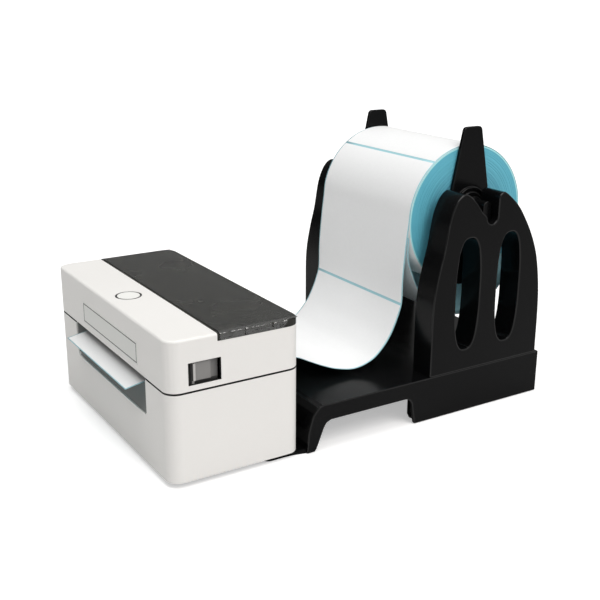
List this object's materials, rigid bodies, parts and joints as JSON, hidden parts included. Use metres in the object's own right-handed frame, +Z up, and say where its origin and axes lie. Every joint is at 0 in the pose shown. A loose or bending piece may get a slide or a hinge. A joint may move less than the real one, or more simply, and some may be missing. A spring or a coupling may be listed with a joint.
{
  "type": "thermal label printer",
  "caption": "Desktop thermal label printer with hinged cover, and a stand whose spindle carries a label roll; the web of labels runs into the printer.",
  "frame": {"origin": "on the ground, under the middle of the whole object's bounding box", "axes": "+Z up, +X to the right when facing the printer's front, +Y from the printer back to the stand"},
  "size_m": [0.1865, 0.3006, 0.193],
  "materials": {
    "shell_white": "satin moulded plastic, warm white",
    "panel_dark": "gloss dark plastic under a clear protective film",
    "grey_plastic": "satin mid grey moulded plastic",
    "latch_grey": "satin grey moulded plastic",
    "button_white": "satin white plastic",
    "ring_dark": "gloss dark plastic",
    "stand_black": "semi gloss black moulded plastic",
    "steel": "zinc plated steel",
    "rubber": "black rubber",
    "black_plastic": "black moulded plastic",
    "nylon": "natural nylon",
    "head_ceramic": "glazed ceramic on aluminium",
    "board": "green solder mask",
    "components": "black component packages",
    "label_blank": "blank paper label",
    "label_paper": "white thermal label stock on blue liner",
    "liner_blue": "wound label stock, blue liner edges",
    "card": "brown cardboard"
  },
  "bodies": {
    "base": {"lower_casing": "shell_white", "bottom_plate": "grey_plastic", "printer_feet": "rubber", "bottom_screws": "steel", "exit_chute": "grey_plastic", "tear_bar": "steel", "side_frame_left": "steel", "side_frame_right": "steel", "platen_bushings": "nylon", "strike_pins": "steel", "media_deck": "grey_plastic", "gap_sensor": "black_plastic", "main_board": "board", "board_parts": "components", "usb_port": "steel", "dc_jack": "black_plastic", "switch_housing": "black_plastic", "stepper_motor": "steel", "motor_screws": "steel", "idler_stud": "steel", "hinge_pins": "steel", "stand_base": "stand_black", "side_plate_left": "stand_black", "side_plate_right": "stand_black", "stand_screws": "steel", "stand_feet": "rubber", "spindle": "stand_black", "label_web": "label_paper"},
    "platen": {"platen_shaft": "steel", "platen_roller": "rubber", "platen_gear": "nylon"},
    "idler": {"idler_gear": "nylon"},
    "motor_rotor": {"motor_shaft": "steel", "motor_pinion": "steel"},
    "rocker": {"power_rocker": "black_plastic"},
    "guide_left": {"paper_guide_left": "grey_plastic"},
    "guide_right": {"paper_guide_right": "grey_plastic"},
    "guide_gear": {"guide_pinion": "nylon"},
    "cover": {"upper_cover": "shell_white", "top_panel": "panel_dark", "front_label": "label_blank", "button_ring": "ring_dark", "button_board": "board", "head_pins": "steel"},
    "button": {"feed_button": "button_white"},
    "latch": {"latch_left": "latch_grey", "latch_right": "latch_grey", "latch_bar": "steel", "latch_hooks": "steel"},
    "head": {"head_bracket": "steel", "print_head": "head_ceramic", "head_springs": "steel"},
    "flange_left": {"flange_left": "stand_black"},
    "flange_right": {"flange_right": "stand_black"},
    "roll": {"roll_core": "card", "label_roll": "liner_blue"}
  },
  "joints": [
    {"name": "cover_hinge", "type": "hinge", "parent": "base", "child": "cover", "pos_m": [0, -0.05105, 0.06], "axis": [-1, 0, 0], "range_deg": [0, 75]},
    {"name": "feed_button_press", "type": "slide", "parent": "cover", "child": "button", "axis": [0, 0, -1], "range_m": [0, 0.0012], "stiffness_N_per_m": 900, "springref_m": -0.0004},
    {"name": "latch_slide", "type": "slide", "parent": "cover", "child": "latch", "axis": [0, 1, 0], "range_m": [-0.002, 0.004], "stiffness_N_per_m": 400, "springref_m": -0.002},
    {"name": "print_head_tilt", "type": "hinge", "parent": "cover", "child": "head", "pos_m": [0, -0.09675, 0.066], "axis": [-1, 0, 0], "range_deg": [0, 2.5], "stiffness_Nm_per_rad": 1.2, "springref_deg": -2.86, "deforming": ["head_springs"]},
    {"name": "platen_spin", "type": "hinge", "parent": "base", "child": "platen", "pos_m": [0, -0.12075, 0.0486], "axis": [1, 0, 0], "continuous": true},
    {"name": "idler_spin", "type": "hinge", "parent": "base", "child": "idler", "pos_m": [0, -0.1017, 0.0376], "axis": [1, 0, 0], "continuous": true},
    {"name": "motor_spin", "type": "hinge", "parent": "base", "child": "motor_rotor", "pos_m": [0, -0.08867, 0.02831], "axis": [1, 0, 0], "continuous": true},
    {"name": "power_switch", "type": "hinge", "parent": "base", "child": "rocker", "pos_m": [0.072, -0.05275, 0.0199], "axis": [1, 0, 0], "range_deg": [-16, 0]},
    {"name": "guide_left_slide", "type": "slide", "parent": "base", "child": "guide_left", "axis": [-1, 0, 0], "range_m": [0, 0.004]},
    {"name": "guide_right_slide", "type": "slide", "parent": "base", "child": "guide_right", "axis": [1, 0, 0], "range_m": [0, 0.004]},
    {"name": "guide_gear_spin", "type": "hinge", "parent": "base", "child": "guide_gear", "pos_m": [0, -0.08075, 0.0499], "axis": [0, 0, 1], "range_deg": [0, 41.5]},
    {"name": "flange_left_slide", "type": "slide", "parent": "base", "child": "flange_left", "axis": [-1, 0, 0], "range_m": [0, 0.0028]},
    {"name": "flange_right_slide", "type": "slide", "parent": "base", "child": "flange_right", "axis": [1, 0, 0], "range_m": [0, 0.0028]},
    {"name": "roll_spin", "type": "hinge", "parent": "base", "child": "roll", "pos_m": [0.0145, 0.09725, 0.1318], "axis": [1, 0, 0], "continuous": true}
  ],
  "couplings": [
    {"joint": "idler_spin", "follows": "platen_spin", "ratio": -1.2},
    {"joint": "motor_spin", "follows": "platen_spin", "ratio": 2},
    {"joint": "guide_right_slide", "follows": "guide_left_slide", "ratio": 1},
    {"joint": "guide_gear_spin", "follows": "guide_left_slide", "rad_per_m": 178.57}
  ]
}
